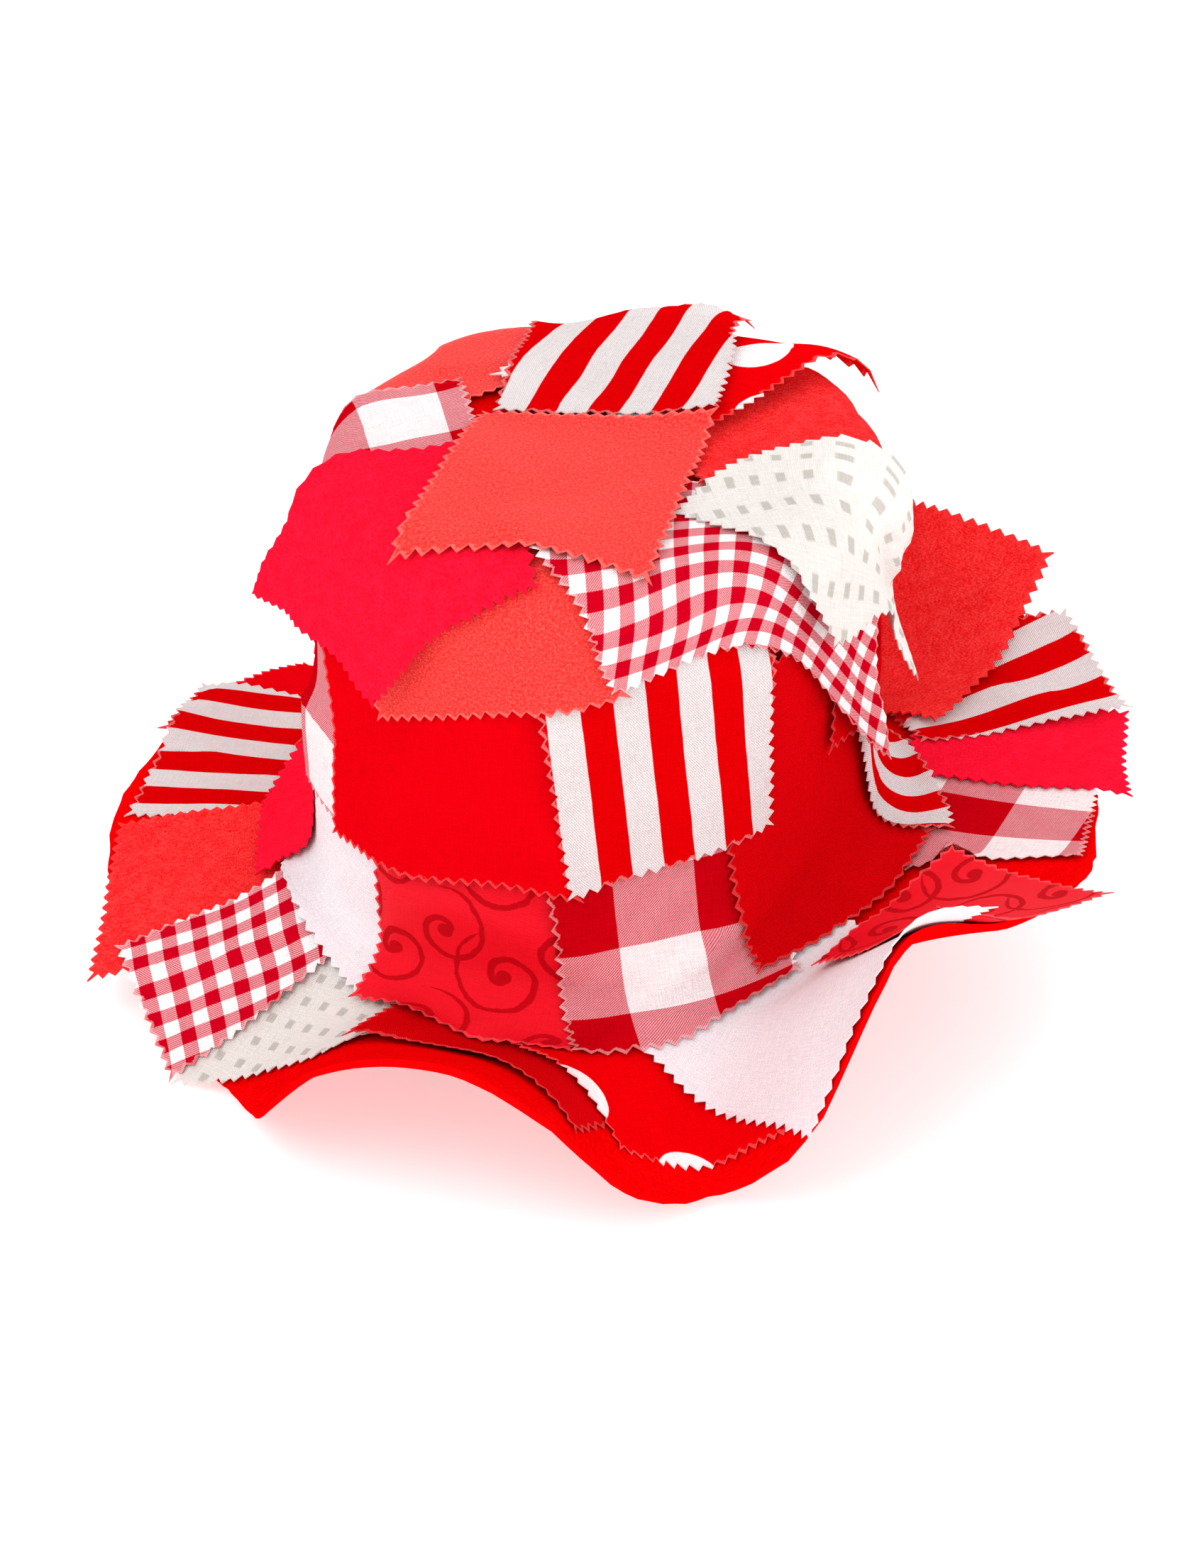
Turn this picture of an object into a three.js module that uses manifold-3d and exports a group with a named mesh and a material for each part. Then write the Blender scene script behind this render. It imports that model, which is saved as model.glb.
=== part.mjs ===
// A floppy patchwork felt hat. One moulded felt body, with a sweatband inside, is covered from the
// brim up with overlapping squares of cloth. Millimetres, +Z up, +Y to the back, brim on Z = 0.
import * as THREE from 'three';
import Module from 'manifold-3d';

const wasm = await Module();
wasm.setup();
const rad = THREE.MathUtils.degToRad;

// ---- driving sizes ----
const CROWN_HALF_WIDTH = 79;     // from the crown's centre to where its top edge starts to round
const CROWN_DOME = rad(7);       // how far the crown's top has turned down at that edge
const EDGE_RADIUS = 15;          // rounding between the crown's top and its wall
const WALL_HEIGHT = 128;         // straight part of the crown's wall
const WALL_TILT = rad(88);       // the wall's slope below horizontal
const CREASE_RADIUS = 18;        // rounding between the wall and the brim
const BRIM_WIDTH = 60;           // flat width of the brim past that rounding
const HEAD_OVAL = 1.06;          // front-to-back over side-to-side, for a head
const FELT = 2.5;                // felt thickness
const CLOTH = 0.8;               // a swatch with its nap and its small waves
const GAP = 0.4;                 // clearance between pieces that lie on each other
const BAND_HEIGHT = 30;          // sweatband
const BAND_THICKNESS = 1.2;
const BAND_DROP = 34;             // its lower edge above the wall's lowest foot
const FLAT_RADIUS = 45;          // the crown's inner face is flat this far from its centre
const SWATCH = 86;               // side of a plain swatch
const HINGE_CUT = 0.15;          // cloth left out on each side of a fold

// The brim droops and lifts in waves: azimuth and slope below horizontal, in degrees, and how much
// shorter the wall is there, in mm.
// Azimuth 0 is the front (-Y) and 90 is the wearer's left (+X).
const BRIM_WAVES = [
  [-180, 34, 0], [-165, 30, 0], [-145, 14, 0], [-130, 2, 0], [-110, 2, 0], [-90, 8, 0],
  [-72, 18, 0], [-54, 33, 0], [-42, 18, 0], [-30, -20, 0], [-16, -32, 0], [-5, -18, 0], [5, 16, 0],
  [14, 31, 0], [21, 9, 2], [28, -28, 8], [36, -44, 15], [48, -28, 22], [62, -16, 26], [78, -4, 26],
  [92, 0, 25], [108, -8, 22], [123, -35, 14], [138, -50, 5], [150, -14, 0], [163, 30, 0],
];

// ---- mesh density ----
const FELT_SIDES = 72;
const BAND_SIDES = 48;
const PLAIN_CELL = 18;           // grid cell of a swatch on the wall or the brim
const BENT_CELL = 11;            // and of one that bends over the crown's edge or a wave
const WALK_STEP = 4;             // step of a line laid straight over the surface
const PILE_CELL = 2;             // grid of the height map of what is laid already
const PILE_MARGIN = 120;         // and how far that map runs past the brim

// ---- the felt's outer face: a profile of arcs and straight runs, turned round the crown ----
function brimWave(theta, column) {
  const n = BRIM_WAVES.length;
  const knot = (i) => {
    const wave = BRIM_WAVES[((i % n) + n) % n];
    return [wave[0] + 360 * Math.floor(i / n), wave[column]];
  };
  const degrees = THREE.MathUtils.euclideanModulo(THREE.MathUtils.radToDeg(theta) + 180, 360) - 180;
  let i = 0;
  while (knot(i + 1)[0] <= degrees) i += 1;
  const [a, b, c, d] = [knot(i - 1), knot(i), knot(i + 1), knot(i + 2)];
  const span = c[0] - b[0];
  const t = (degrees - b[0]) / span;
  const tangentB = span * (c[1] - a[1]) / (c[0] - a[0]);
  const tangentC = span * (d[1] - b[1]) / (d[0] - b[0]);
  return (2 * t ** 3 - 3 * t ** 2 + 1) * b[1] + (t ** 3 - 2 * t ** 2 + t) * tangentB
    + (3 * t ** 2 - 2 * t ** 3) * c[1] + (t ** 3 - t ** 2) * tangentC;
}

const brimSlope = (theta) => rad(brimWave(theta, 1));
const wallHeight = (theta) => WALL_HEIGHT - brimWave(theta, 2);

// A run starts at (s, r, z) with heading `from` and ends with heading `to`.
function runEnd(run, along) {
  const turn = (run.to - run.from) / run.length;
  if (Math.abs(turn) < 1e-9) {
    return [run.r + along * Math.cos(run.from), run.z + along * Math.sin(run.from), run.from];
  }
  const heading = run.from + turn * along;
  return [run.r + (Math.sin(heading) - Math.sin(run.from)) / turn,
    run.z - (Math.cos(heading) - Math.cos(run.from)) / turn, heading];
}

function chain(runs, start) {
  let [s, r, z] = start;
  for (const run of runs) {
    Object.assign(run, { s, r, z });
    [r, z] = runEnd(run, run.length);
    s += run.length;
  }
  return [s, r, z];
}

const crownRuns = [
  { length: CROWN_HALF_WIDTH, from: 0, to: -CROWN_DOME },
  { length: EDGE_RADIUS * (WALL_TILT - CROWN_DOME), from: -CROWN_DOME, to: -WALL_TILT },
];
const wallTop = chain(crownRuns, [0, 0, 0]);
const S_RIM = crownRuns[1].s;
const S_WALL = wallTop[0];
const S_FOOT = S_WALL + WALL_HEIGHT;

// The wall, the crease at its foot and the brim, where the azimuth is theta.
function lowerRuns(theta) {
  const heading = -brimSlope(theta);
  const runs = [
    { length: wallHeight(theta), from: -WALL_TILT, to: -WALL_TILT },
    { length: CREASE_RADIUS * (heading + WALL_TILT), from: -WALL_TILT, to: heading },
    { length: BRIM_WIDTH, from: heading, to: heading },
  ];
  chain(runs, wallTop);
  return runs;
}

function profile(theta, s) {
  const runs = s < S_WALL ? crownRuns : lowerRuns(theta);
  const last = runs.findLastIndex((run) => run.s <= s);
  return runEnd(runs[Math.max(last, 0)], s - runs[Math.max(last, 0)].s);
}

const brimStart = (theta) => lowerRuns(theta)[2].s;
const wallFoot = (theta) => lowerRuns(theta)[1].s;
const brimEdge = (theta) => brimStart(theta) + BRIM_WIDTH;

// Point at distance s along the profile from the crown's centre and h outside the felt.
function surfacePoint(theta, s, h = 0) {
  const [r, z, heading] = profile(theta, s);
  const radius = r - h * Math.sin(heading);
  return new THREE.Vector3(radius * Math.sin(theta), -HEAD_OVAL * radius * Math.cos(theta),
    z + h * Math.cos(heading));
}

// The way back, for a point near the felt.
function locate(point) {
  const theta = Math.atan2(point.x, -point.y / HEAD_OVAL);
  const r = Math.hypot(point.x, point.y / HEAD_OVAL);
  const { z } = point;
  const runs = [...crownRuns, ...lowerRuns(theta)];
  let best = null;
  runs.forEach((run, i) => {
    const turn = (run.to - run.from) / run.length;
    let along;
    let h;
    if (Math.abs(turn) < 1e-9) {
      const [dr, dz] = [r - run.r, z - run.z];
      along = dr * Math.cos(run.from) + dz * Math.sin(run.from);
      h = -dr * Math.sin(run.from) + dz * Math.cos(run.from);
    } else {
      const centreR = run.r - Math.sin(run.from) / turn;
      const centreZ = run.z + Math.cos(run.from) / turn;
      const side = Math.sign(turn);
      const heading = Math.atan2(side * (r - centreR), -side * (z - centreZ));
      along = (heading - run.from) / turn;
      h = 1 / turn - side * Math.hypot(r - centreR, z - centreZ);
    }
    const limit = i === runs.length - 1 ? Infinity : run.length;
    const inside = THREE.MathUtils.clamp(along, 0, limit);
    const miss = Math.abs(along - inside) + Math.abs(h);
    if (!best || miss < best.miss) best = { miss, s: run.s + inside, h };
  });
  return { x: best.s * Math.sin(theta), y: -best.s * Math.cos(theta), h: best.h };
}

// ---- the flat chart of the hat: the profile laid out straight, azimuth kept ----
const chartPoint = (x, y, h = 0) => surfacePoint(Math.atan2(x, -y), Math.hypot(x, y), h);

function chartFrame(x, y) {
  const step = 0.5;
  const here = chartPoint(x, y);
  const dx = chartPoint(x + step, y).sub(here).divideScalar(step);
  const dy = chartPoint(x, y + step).sub(here).divideScalar(step);
  const [xx, xy, yy] = [dx.dot(dx), dx.dot(dy), dy.dot(dy)];
  const area = xx * yy - xy * xy;
  const toChart = (v) => {
    const [a, b] = [v.dot(dx), v.dot(dy)];
    return [(yy * a - xy * b) / area, (xx * b - xy * a) / area];
  };
  return { dx, dy, toChart };
}

// Follows a straight line over the surface, from the chart point (x, y), for one flat offset of a
// swatch: `right` runs round the hat and `up` towards the crown's centre, before the twist.
function walk(x, y, right, up, twist) {
  const distance = Math.hypot(right, up);
  if (distance < 1e-6) return [x, y];
  const angle = Math.atan2(up, right) + twist;
  const theta = Math.atan2(x, -y);
  let frame = chartFrame(x, y);
  const round = frame.dx.clone().multiplyScalar(Math.cos(theta));
  round.addScaledVector(frame.dy, Math.sin(theta)).normalize();
  const inward = frame.dx.clone().multiplyScalar(-Math.sin(theta));
  inward.addScaledVector(frame.dy, Math.cos(theta));
  inward.addScaledVector(round, -inward.dot(round)).normalize();
  const heading = round.multiplyScalar(Math.cos(angle)).addScaledVector(inward, Math.sin(angle));
  const steps = Math.ceil(distance / WALK_STEP);
  for (let i = 0; i < steps; i += 1) {
    const [dx, dy] = frame.toChart(heading);
    x += dx * distance / steps;
    y += dy * distance / steps;
    frame = chartFrame(x, y);
    const [a, b] = frame.toChart(heading);
    heading.copy(frame.dx).multiplyScalar(a).addScaledVector(frame.dy, b).normalize();
  }
  return [x, y];
}

// ---- the pile: how high the hat is covered already, over the chart ----
const PILE_REACH = S_FOOT + Math.PI * CREASE_RADIUS + BRIM_WIDTH + PILE_MARGIN;
const PILE_SIDE = 2 * Math.ceil(PILE_REACH / PILE_CELL);
const pile = new Float32Array(PILE_SIDE * PILE_SIDE);
const pileIndex = (value) => Math.round(value / PILE_CELL) + PILE_SIDE / 2;

function pileHeight(x, y) {
  return pile[pileIndex(y) * PILE_SIDE + pileIndex(x)];
}

function raisePile({ x, y, h }) {
  const [column, row] = [pileIndex(x), pileIndex(y)];
  for (let j = row - 1; j <= row + 1; j += 1) {
    for (let i = column - 1; i <= column + 1; i += 1) {
      pile[j * PILE_SIDE + i] = Math.max(pile[j * PILE_SIDE + i], h);
    }
  }
}

// Visits points over a flat triangle, less than a cell of the pile apart, with their weights.
function overTriangle(corners, visit) {
  const spots = corners.map(locate);
  const side = Math.max(...[0, 1, 2].map((i) => {
    const next = spots[(i + 1) % 3];
    return Math.hypot(spots[i].x - next.x, spots[i].y - next.y);
  }));
  const steps = Math.ceil(side / PILE_CELL);
  for (let i = 0; i <= steps; i += 1) {
    for (let j = 0; j <= steps - i; j += 1) {
      const weights = [i / steps, j / steps, 1 - (i + j) / steps];
      const point = new THREE.Vector3();
      corners.forEach((corner, k) => point.addScaledVector(corner, weights[k]));
      visit(locate(point), weights);
    }
  }
}

// ---- meshes ----
function closedGeometry(points, triangles) {
  const geometry = new THREE.BufferGeometry();
  geometry.setAttribute('position', new THREE.Float32BufferAttribute(points.flatMap((p) => p.toArray()), 3));
  geometry.setIndex(triangles.flat());
  return geometry;
}

const hat = new THREE.Group();
const finish = { felt: 0.95, plain: 0.85, satin: 0.5 };

function addPiece(name, colour, roughness, geometry) {
  geometry.computeVertexNormals();
  const material = new THREE.MeshStandardMaterial({ color: colour, roughness, metalness: 0 });
  const mesh = new THREE.Mesh(geometry, material);
  mesh.name = name;
  hat.add(mesh);
  return mesh;
}

// Closed shell of revolution from two lists of rings, each ring a function of azimuth. A ring given
// as null is the pole.
function shell(outer, inner, sides) {
  const points = [];
  const ringStart = (ring) => {
    const start = points.length;
    for (let i = 0; i < sides; i += 1) points.push(ring(2 * Math.PI * i / sides));
    return start;
  };
  const triangles = [];
  const strip = (a, b) => {
    for (let i = 0; i < sides; i += 1) {
      const j = (i + 1) % sides;
      triangles.push([a + i, b + i, b + j], [a + i, b + j, a + j]);
    }
  };
  const loop = [...outer, ...inner.toReversed()].map(ringStart);
  for (let k = 0; k + 1 < loop.length; k += 1) strip(loop[k], loop[k + 1]);
  return { points, triangles, first: loop[0], last: loop.at(-1), strip };
}

function feltBody() {
  const stations = [1 / 3, 2 / 3].map((f) => () => f * S_RIM);
  for (let i = 0; i <= 4; i += 1) stations.push(() => S_RIM + (S_WALL - S_RIM) * i / 4);
  for (const f of [0.5, 1]) stations.push((theta) => S_WALL + f * wallHeight(theta));
  for (let i = 1; i <= 3; i += 1) {
    stations.push((theta) => wallFoot(theta) + (brimStart(theta) - wallFoot(theta)) * i / 3);
  }
  for (const f of [0.5, 1]) stations.push((theta) => brimStart(theta) + f * BRIM_WIDTH);
  const flatFloor = surfacePoint(0, FLAT_RADIUS, -FELT).z;
  const outer = stations.map((s) => (theta) => surfacePoint(theta, s(theta)));
  const inner = stations.slice(2).map((s) => (theta) => surfacePoint(theta, s(theta), -FELT));
  inner.unshift((theta) => surfacePoint(theta, FLAT_RADIUS, -FELT).setZ(flatFloor));
  const { points, triangles, first, last } = shell(outer, inner, FELT_SIDES);
  const poles = [surfacePoint(0, 0), new THREE.Vector3(0, 0, flatFloor)].map((p) => points.push(p) - 1);
  for (let i = 0; i < FELT_SIDES; i += 1) {
    const j = (i + 1) % FELT_SIDES;
    triangles.push([first + i, first + j, poles[0]], [last + j, last + i, poles[1]]);
  }
  const top = triangles.filter((t) => t.every((v) => v < outer.length * FELT_SIDES || v === poles[0]));
  for (const t of top) overTriangle(t.map((v) => points[v]), raisePile);
  addPiece('felt_body', '#c80a14', finish.felt, closedGeometry(points, triangles));
}

function sweatband() {
  const faces = [-FELT - GAP, -FELT - GAP - BAND_THICKNESS];
  const edges = [S_FOOT - BAND_DROP - BAND_HEIGHT, S_FOOT - BAND_DROP];
  const [outer, inner] = faces.map((h) => edges.map((s) => (theta) => surfacePoint(theta, s, h)));
  const { points, triangles, first, last, strip } = shell(outer, inner, BAND_SIDES);
  strip(last, first);
  addPiece('sweatband', '#e8dfd6', finish.plain, closedGeometry(points, triangles));
}

// ---- swatches ----
// A place on the hat is [azimuth in degrees, station]: 0 is the crown's centre, 1 its rim, 2 the
// wall's top, 3 the wall's foot and 4 the brim's edge.
function chartPlace([azimuth, station]) {
  const theta = rad(azimuth);
  const marks = [0, S_RIM, S_WALL, wallFoot(theta), brimEdge(theta)];
  const i = Math.min(Math.floor(station), 3);
  const s = marks[i] + (station - i) * (marks[i + 1] - marks[i]);
  return [s * Math.sin(theta), -s * Math.cos(theta)];
}

const rectangle = ([width, height]) => [
  [-width / 2, -height / 2], [width / 2, -height / 2], [width / 2, height / 2], [-width / 2, height / 2],
];

// Lays one swatch on the pile. `at` is the point where the cloth lies flattest, and `corners` are
// its cut corners in the flat, measured from there, from the lower left round. `lift` is how far
// each corner stands off, `tuck` how far a fold draws up the middle of the lower edge, and `bow`
// how far the middle of the upper edge is pushed up.
function laySwatch({
  at, twist, size = [SWATCH, SWATCH], corners = rectangle(size), lift = [0, 0, 0, 0], tuck = 0,
  bow = 0, bent = false,
}) {
  const [x, y] = chartPlace(at);
  const cell = bent ? BENT_CELL : PLAIN_CELL;
  const side = (a, b) => Math.hypot(corners[a][0] - corners[b][0], corners[a][1] - corners[b][1]);
  const columns = Math.round((side(0, 1) + side(3, 2)) / 2 / cell);
  const rows = Math.round((side(0, 3) + side(1, 2)) / 2 / cell);
  const spots = [];
  for (let j = 0; j <= rows; j += 1) {
    for (let i = 0; i <= columns; i += 1) {
      const [u, v] = [i / columns, j / rows];
      const weights = [(1 - u) * (1 - v), u * (1 - v), u * v, (1 - u) * v];
      const [right, up] = [0, 1].map((k) => weights.reduce((sum, w, c) => sum + w * corners[c][k], 0));
      const wave = Math.sin(Math.PI * u);
      const drawn = tuck * wave ** 2 * (1 - v) + bow * wave * v;
      const rise = weights.reduce((sum, weight, k) => sum + weight ** 2 * lift[k], GAP);
      spots.push({ place: walk(x, y, right, up + drawn, rad(twist)), h: rise });
    }
  }
  const triangles = [];
  for (let j = 0; j < rows; j += 1) {
    for (let i = 0; i < columns; i += 1) {
      const a = j * (columns + 1) + i;
      const b = a + columns + 1;
      triangles.push([a, a + 1, b + 1], [a, b + 1, b]);
    }
  }
  const points = (rise) => spots.map(({ place, h }) => chartPoint(...place, h + rise));
  settle(spots, triangles, points);
  const [under, over] = [points(0), points(CLOTH)];
  for (const t of triangles) overTriangle(t.map((v) => over[v]), raisePile);
  return slab(under, over, triangles, columns, rows);
}

// Raises a swatch's grid until none of its facets comes closer to the pile than the gap.
function settle(spots, triangles, points) {
  const ROUNDS = 30;
  for (let round = 0; round < ROUNDS; round += 1) {
    const under = points(0);
    const raise = new Float32Array(spots.length);
    for (const t of triangles) {
      overTriangle(t.map((v) => under[v]), (spot, weights) => {
        const short = pileHeight(spot.x, spot.y) + GAP - spot.h;
        if (short <= 0) return;
        const share = weights.reduce((sum, weight) => sum + weight * weight, 0);
        t.forEach((v, k) => { raise[v] = Math.max(raise[v], short * weights[k] / share); });
      });
    }
    spots.forEach((spot, i) => { spot.h += raise[i]; });
    if (Math.max(...raise) < 0.02) return;
  }
}

function slab(under, over, faces, columns, rows) {
  const n = under.length;
  const triangles = [...faces.map((t) => t.map((v) => v + n)), ...faces.map(([a, b, c]) => [a, c, b])];
  const rim = [];
  const at = (i, j) => j * (columns + 1) + i;
  for (let i = 0; i < columns; i += 1) rim.push(at(i, 0));
  for (let j = 0; j < rows; j += 1) rim.push(at(columns, j));
  for (let i = columns; i > 0; i -= 1) rim.push(at(i, rows));
  for (let j = rows; j > 0; j -= 1) rim.push(at(0, j));
  rim.forEach((a, k) => {
    const b = rim[(k + 1) % rim.length];
    triangles.push([a, b, b + n], [a, b + n, a + n]);
  });
  return closedGeometry([...under, ...over], triangles);
}

// ---- folds: a swatch that hangs over the crown's edge is cut there into a fixed and a free half ----
function toManifold(geometry) {
  const mesh = new wasm.Mesh({
    numProp: 3,
    vertProperties: new Float32Array(geometry.attributes.position.array),
    triVerts: new Uint32Array(geometry.index.array),
  });
  mesh.merge();
  return new wasm.Manifold(mesh);
}

function fromManifold(solid) {
  const { vertProperties, triVerts } = solid.getMesh();
  const geometry = new THREE.BufferGeometry();
  geometry.setAttribute('position', new THREE.BufferAttribute(vertProperties, 3));
  geometry.setIndex(new THREE.BufferAttribute(triVerts, 1));
  return geometry;
}

// The fold axis runs along the crown's edge, at a height over the felt that is just over the cloth,
// and the cut slopes up and out at 45 degrees through it.
function foldFrame([azimuth, height]) {
  const theta = rad(azimuth);
  const origin = surfacePoint(theta, (S_RIM + S_WALL) / 2, height);
  const outward = new THREE.Vector3(HEAD_OVAL * Math.sin(theta), -Math.cos(theta), 0).normalize();
  const axis = outward.clone().cross(new THREE.Vector3(0, 0, 1));
  return { origin, outward, axis };
}

function halfSpace({ origin, outward, axis }, side) {
  const size = 400;
  const box = new THREE.BoxGeometry(size, size, size).translate(0, 0, side * (size / 2 + HINGE_CUT));
  box.deleteAttribute('normal');
  box.deleteAttribute('uv');
  const away = outward.clone().sub(new THREE.Vector3(0, 0, 1)).normalize();
  const basis = new THREE.Matrix4().makeBasis(axis.clone().cross(away), axis, away);
  return toManifold(box.applyMatrix4(basis.setPosition(origin)));
}

function addSwatch(name, fabric, options) {
  const [colour, roughness] = FABRICS[fabric];
  const geometry = laySwatch(options);
  if (options.fold === undefined) {
    addPiece(name, colour, roughness, geometry);
    return;
  }
  const frame = foldFrame(options.fold);
  const whole = toManifold(geometry);
  for (const [part, side] of [['root', -1], ['flap', 1]]) {
    const half = fromManifold(whole.intersect(halfSpace(frame, side)));
    addPiece(`${name}_${part}`, colour, roughness, half).userData.fold = frame;
  }
}

// Colour and roughness of each cloth.
const FABRICS = {
  red_poplin: ['#c8060f', 0.85], red_twill: ['#c20810', 0.85], crimson: ['#c80a22', 0.8],
  salmon: ['#e04840', 0.7], orange_red: ['#e0322c', 0.8], damask: ['#c60c1c', 0.5],
  jacquard: ['#ece0da', 0.45], white_poplin: ['#f0e8e8', 0.85], stripes: ['#d86860', 0.85],
  small_check: ['#dc8c90', 0.85], large_check: ['#d88088', 0.85], polka: ['#d02028', 0.85],
};

// From the bottom of the pile to its top.
const SWATCHES = [
  // brim
  ['brim_back_left', 'orange_red', { at: [-146, 3.4], twist: 5 }],
  ['brim_back', 'large_check', { at: [178, 3.32], twist: -4 }],
  ['brim_back_mid', 'red_twill', { at: [-167, 3.28], twist: 6 }],
  ['brim_back_right', 'small_check', { at: [156, 3.34], twist: -6, bent: true }],
  ['brim_left_red', 'red_poplin', { at: [-130, 3.5], twist: 4, lift: [2, 2, 0, 0] }],
  ['brim_left_stripes', 'stripes',
    { at: [-112, 3.6], twist: 4, corners: [[-53, -36], [36, -30], [30, 38], [-48, 34]] }],
  ['brim_front_left_white', 'jacquard',
    { at: [-48, 3.36], twist: 24, corners: [[-50, -44], [44, -30], [46, 42], [-44, 44]], bent: true }],
  ['brim_left_orange', 'orange_red',
    { at: [-86, 3.6], twist: -3, corners: [[-33, -32], [44, -38], [44, 40], [-36, 36]] }],
  ['brim_front_left_check', 'small_check',
    { at: [-66, 3.6], twist: -2, corners: [[-32, -34], [28, -39], [24, 31], [-24, 31]] }],
  ['brim_front_red', 'red_twill',
    { at: [-15, 3.38], twist: -12, corners: [[-48, -20], [53, -34], [44, 52], [-44, 54]], bent: true }],
  ['brim_front_polka', 'polka',
    { at: [10, 3.42], twist: 12, corners: [[-32, -30], [50, -52], [56, 34], [-46, 44]], bent: true }],
  ['brim_front_white', 'white_poplin',
    { at: [28, 3.26], twist: -44, corners: [[-38, -36], [50, -50], [104, 28], [-14, 44]], bent: true }],
  ['brim_right_damask', 'damask',
    { at: [52, 3.78], twist: -2, corners: [[-42, -34], [26, -40], [28, 38], [-44, 38]],
      lift: [0, 0, 3, 0], bent: true }],
  ['brim_right_check', 'large_check',
    { at: [84, 3.5], twist: -4, corners: [[-44, -40], [50, -46], [46, 36], [-46, 44]] }],
  ['brim_right_crimson', 'crimson',
    { at: [98, 3.7], twist: -18, corners: [[-24, -42], [28, -40], [40, 38], [-20, 36]] }],
  ['brim_right_stripes', 'stripes',
    { at: [113, 3.7], twist: -20, corners: [[-33, -46], [18, -42], [40, 34], [-28, 32]] }],
  // lower wall, over the crease
  ['low_left_white', 'white_poplin',
    { at: [-66, 2.9], twist: -5, corners: [[-42, -34], [47, -36], [42, 36], [-30, 36]], bent: true }],
  ['low_left_crimson', 'crimson', { at: [-104, 2.92], twist: 5, bent: true }],
  ['low_back_left_polka', 'polka', { at: [-140, 2.93], twist: -6, bent: true }],
  ['low_back_white', 'jacquard', { at: [178, 2.92], twist: 3, bent: true }],
  ['low_back_right_red', 'red_poplin', { at: [143, 2.92], twist: -4, bent: true }],
  ['low_front_damask', 'damask',
    { at: [-25, 2.92], twist: 1, corners: [[-34, -41], [40, -46], [40, 44], [-42, 44]], bent: true }],
  ['low_front_check', 'large_check',
    { at: [11, 2.86], twist: 8, corners: [[-34, -51], [44, -40], [42, 44], [-32, 44]], bent: true }],
  ['low_right_red', 'red_twill',
    { at: [46, 2.78], twist: 8, corners: [[-37, -50], [48, -56], [44, 62], [-30, 66]], bent: true }],
  ['low_right_stripes', 'stripes', { at: [88, 2.9], twist: 14, size: [74, 84], bent: true }],
  ['brim_back_right_orange', 'orange_red',
    { at: [122, 3.4], twist: -3, corners: [[-28, -77], [47, -77], [43, 10], [-34, 10]], bent: true }],
  // wall
  ['wall_left_check', 'large_check', { at: [-88, 2.5], twist: 4 }],
  ['wall_back_left_red', 'red_twill', { at: [-124, 2.45], twist: -5 }],
  ['wall_back_left_white', 'white_poplin', { at: [-168, 2.42], twist: 4 }],
  ['wall_back_right_salmon', 'salmon', { at: [152, 2.46], twist: -5 }],
  ['wall_right_polka', 'polka', { at: [112, 2.44], twist: 5 }],
  ['wall_right_dark', 'red_twill', { at: [78, 2.25], twist: -4 }],
  ['wall_front_red', 'red_poplin', { at: [-35, 2.42], twist: 6, size: [104, 92] }],
  ['wall_front_stripes', 'stripes',
    { at: [14, 2.34], twist: 6, corners: [[-38, -49], [34, -41], [42, 44], [-40, 44]] }],
  // over the crown's edge
  ['rim_back_right_red', 'red_twill', { at: [140, 1.35], twist: 4, bent: true }],
  ['rim_back_white', 'white_poplin', { at: [-176, 1.4], twist: -6, lift: [5, 5, 0, 0], bent: true }],
  ['rim_back_left_salmon', 'salmon',
    { at: [-138, 1.2], twist: -4, size: [84, 84], lift: [2, 2, 0, 0], bent: true, fold: [-138, 4.7] }],
  ['rim_left_check', 'large_check', { at: [-82, 1.05], twist: 3, size: [84, 84], bent: true }],
  ['rim_front_salmon', 'salmon',
    { at: [-27, 2.02], twist: 16, corners: [[-46, -36], [48, -33], [46, 38], [-46, 38]], bent: true }],
  ['rim_left_crimson', 'crimson',
    { at: [-45, 0.79], twist: 57, corners: [[-62, -46], [18, -50], [18, 39], [-90, 34]],
      lift: [8, 0, 0, 18], bent: true, fold: [-68, 9.4] }],
  ['rim_front_check', 'small_check',
    { at: [18, 0.8], twist: 10, corners: [[-38, -50], [84, -112], [80, 15], [-45, 22]],
      lift: [0, 6, 0, 0], tuck: 26, bent: true }],
  ['rim_right_red', 'orange_red', { at: [98, 0.85], twist: 4, lift: [6, 6, 0, 0], bent: true }],
  ['rim_right_white', 'jacquard',
    { at: [48, 0.85], twist: -3, corners: [[-2, -52], [74, -88], [60, -8], [-25, 12]],
      lift: [5, 12, 4, 0], tuck: 16, bow: 13, bent: true, fold: [66, 18.0] }],
  ['crown_back_polka', 'polka', { at: [150, 0.62], twist: -8, lift: [12, 0, 0, 0], bent: true }],
  // crown
  ['crown_back_stripes', 'stripes',
    { at: [168, 0.56], twist: 3, corners: [[-36, -42], [38, -44], [38, 38], [-38, 39]],
      lift: [4, 0, 0, 0] }],
  ['crown_top_salmon', 'salmon',
    { at: [-20, 0.45], twist: 8, corners: [[-42, -47], [42, -48], [43, 46], [-37, 41]] }],
];

feltBody();
sweatband();
for (const swatch of SWATCHES) addSwatch(...swatch);

// The model stands with its lowest felt on Z = 0, centred on its own box.
const box = new THREE.Box3().setFromObject(hat);
const centre = box.getCenter(new THREE.Vector3());
hat.position.set(-centre.x, -centre.y, -box.min.z);

export default hat;
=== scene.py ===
import math

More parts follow.
